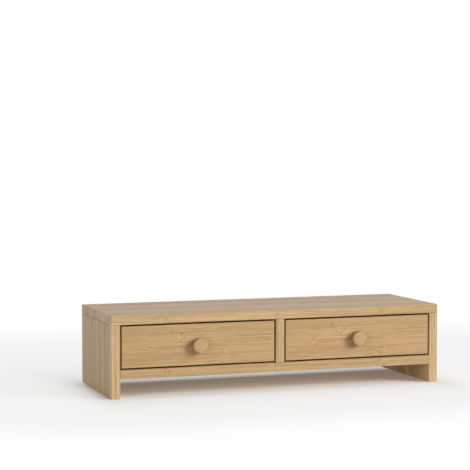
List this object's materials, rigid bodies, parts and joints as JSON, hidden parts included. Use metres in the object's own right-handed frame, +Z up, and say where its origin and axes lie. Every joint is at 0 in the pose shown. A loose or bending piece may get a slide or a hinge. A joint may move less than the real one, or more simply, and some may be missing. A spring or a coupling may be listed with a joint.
{
  "type": "monitor stand with drawers",
  "caption": "Low bamboo stand that raises a monitor above a desk, with drawers side by side under its top and an open keyboard bay below.",
  "frame": {"origin": "on the surface the stand rests on, below the middle of its overall width and depth, knobs included", "axes": "+X to the right as seen by the person at the desk, +Y away from that person towards the back, +Z up"},
  "size_m": [0.56, 0.1998, 0.13],
  "materials": {
    "bamboo_carcass": "laminated bamboo board with a thin matt clear coat, lightly eased edges",
    "bamboo_drawer": "laminated bamboo board with a thin matt clear coat, strips running across the drawer",
    "bamboo_knob": "turned bamboo, face across the grain, matt clear coat",
    "bamboo_ply": "thin bamboo plywood, sanded",
    "dowel_wood": "plain beech dowel",
    "zinc": "die-cast zinc, dull",
    "steel": "zinc-plated steel"
  },
  "bodies": {
    "carcass": {"top_panel": "bamboo_carcass", "left_side_panel": "bamboo_carcass", "right_side_panel": "bamboo_carcass", "shelf": "bamboo_carcass", "divider": "bamboo_carcass", "back_panel": "bamboo_ply", "left_top_front_cam_bolt": "steel", "left_top_back_cam_bolt": "steel", "left_shelf_front_cam_bolt": "steel", "left_shelf_back_cam_bolt": "steel", "right_top_front_cam_bolt": "steel", "right_top_back_cam_bolt": "steel", "right_shelf_front_cam_bolt": "steel", "right_shelf_back_cam_bolt": "steel", "left_top_front_cam_lock": "zinc", "left_top_back_cam_lock": "zinc", "left_shelf_front_cam_lock": "zinc", "left_shelf_back_cam_lock": "zinc", "right_top_front_cam_lock": "zinc", "right_top_back_cam_lock": "zinc", "right_shelf_front_cam_lock": "zinc", "right_shelf_back_cam_lock": "zinc", "left_top_front_dowel": "dowel_wood", "left_top_back_dowel": "dowel_wood", "left_shelf_front_dowel": "dowel_wood", "left_shelf_back_dowel": "dowel_wood", "right_top_front_dowel": "dowel_wood", "right_top_back_dowel": "dowel_wood", "right_shelf_front_dowel": "dowel_wood", "right_shelf_back_dowel": "dowel_wood", "divider_front_dowel": "dowel_wood", "divider_back_dowel": "dowel_wood", "divider_front_screw": "steel", "divider_back_screw": "steel"},
    "left_drawer": {"left_drawer_front": "bamboo_drawer", "left_drawer_left_side": "bamboo_drawer", "left_drawer_right_side": "bamboo_drawer", "left_drawer_back": "bamboo_drawer", "left_drawer_bottom": "bamboo_ply", "left_drawer_knob": "bamboo_knob", "left_drawer_knob_screw": "steel", "left_drawer_knob_washer": "steel", "left_drawer_left_lower_dowel": "dowel_wood", "left_drawer_left_upper_dowel": "dowel_wood", "left_drawer_right_lower_dowel": "dowel_wood", "left_drawer_right_upper_dowel": "dowel_wood"},
    "right_drawer": {"right_drawer_front": "bamboo_drawer", "right_drawer_left_side": "bamboo_drawer", "right_drawer_right_side": "bamboo_drawer", "right_drawer_back": "bamboo_drawer", "right_drawer_bottom": "bamboo_ply", "right_drawer_knob": "bamboo_knob", "right_drawer_knob_screw": "steel", "right_drawer_knob_washer": "steel", "right_drawer_left_lower_dowel": "dowel_wood", "right_drawer_left_upper_dowel": "dowel_wood", "right_drawer_right_lower_dowel": "dowel_wood", "right_drawer_right_upper_dowel": "dowel_wood"}
  },
  "joints": [
    {"name": "left_drawer_slide", "type": "slide", "parent": "carcass", "child": "left_drawer", "axis": [0, -1, 0], "range_m": [0, 0.13]},
    {"name": "right_drawer_slide", "type": "slide", "parent": "carcass", "child": "right_drawer", "axis": [0, -1, 0], "range_m": [0, 0.13]}
  ]
}
